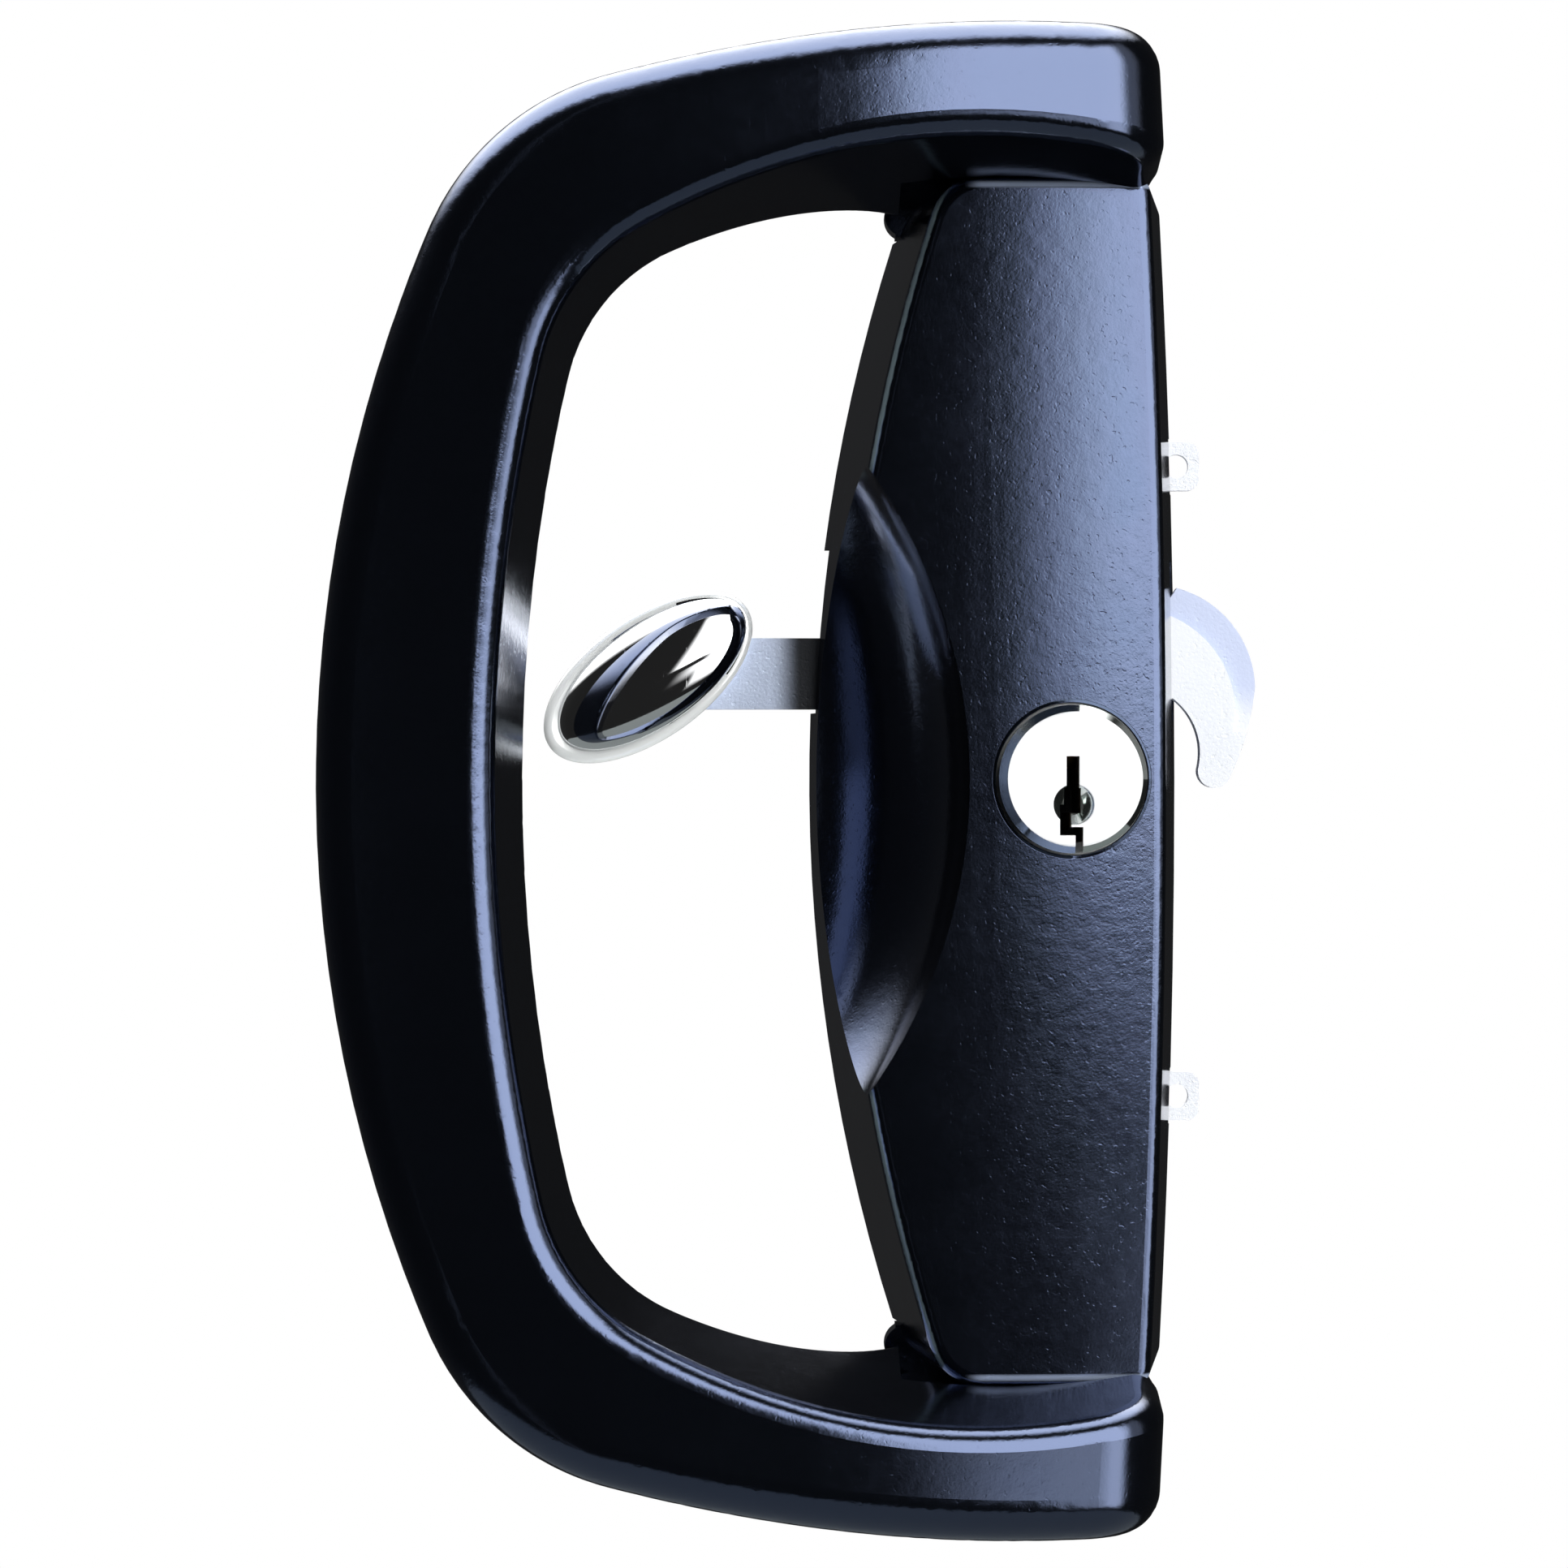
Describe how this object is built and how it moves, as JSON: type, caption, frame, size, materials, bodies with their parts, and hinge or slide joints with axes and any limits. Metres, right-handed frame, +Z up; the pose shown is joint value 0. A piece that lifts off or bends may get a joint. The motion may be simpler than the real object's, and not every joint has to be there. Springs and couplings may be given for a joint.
{
  "type": "sliding door lock",
  "caption": "Sliding door lock with a D-shaped pull handle, crowned cover with key cylinder, swinging snib lever and a geared hook bolt at the side.",
  "frame": {"origin": "on the door face, midway between the two door bolts in the feet of the pull", "axes": "+Z up along the pull, +X towards the jamb that the hook enters, +Y into the door; the front looks along -Y"},
  "size_m": [0.097, 0.047, 0.1522],
  "materials": {
    "pull_enamel": "gloss",
    "cover_enamel": "gloss",
    "plate_zinc": "satin",
    "lever_steel": "satin",
    "knob_chrome": "polished",
    "pivot_steel": "satin",
    "spring_steel": "satin",
    "hook_zinc": "satin",
    "shell_zinc": "cast",
    "plug_nickel": "satin",
    "pin_brass": "turned",
    "screw_steel": "satin"
  },
  "bodies": {
    "lock_case": {"d_handle": "pull_enamel", "body_cover": "cover_enamel", "back_plate": "plate_zinc", "snib_pivot_pin": "pivot_steel", "snib_pivot_clip": "spring_steel", "toggle_spring": "spring_steel", "toggle_post": "pivot_steel", "hook_pivot_pin": "pivot_steel", "hook_pivot_clip": "spring_steel", "cylinder_shell": "shell_zinc", "chamber_cap": "shell_zinc", "cylinder_screws": "screw_steel", "handle_screws": "screw_steel", "plate_screws": "screw_steel", "driver_pin_1": "pin_brass", "pin_spring_1": "spring_steel", "driver_pin_2": "pin_brass", "pin_spring_2": "spring_steel", "driver_pin_3": "pin_brass", "pin_spring_3": "spring_steel", "driver_pin_4": "pin_brass", "pin_spring_4": "spring_steel"},
    "snib": {"snib_lever": "lever_steel", "snib_knob": "knob_chrome", "snib_knob_rivet": "pivot_steel", "deadlock_peg": "pivot_steel"},
    "hook": {"hook": "hook_zinc"},
    "key_plug": {"cylinder_plug": "plug_nickel", "deadlock_cam": "lever_steel", "cam_screws": "screw_steel", "key_pin_1": "pin_brass", "key_pin_2": "pin_brass", "key_pin_3": "pin_brass", "key_pin_4": "pin_brass"}
  },
  "joints": [
    {"name": "snib_swing", "type": "hinge", "parent": "lock_case", "child": "snib", "pos_m": [-0.0105, -0.00275, 0.01145], "axis": [0, 1, 0], "range_deg": [0, 38], "deforming": ["toggle_spring"]},
    {"name": "hook_swing", "type": "hinge", "parent": "lock_case", "child": "hook", "pos_m": [0.00665, -0.00275, 0.00155], "axis": [0, 1, 0], "range_deg": [-76, 0]},
    {"name": "key_turn", "type": "hinge", "parent": "lock_case", "child": "key_plug", "pos_m": [0.0066, -0.018, 0.0002], "axis": [0, 1, 0], "range_deg": [0, 90]}
  ],
  "couplings": [
    {"joint": "hook_swing", "follows": "snib_swing", "ratio": -2}
  ]
}
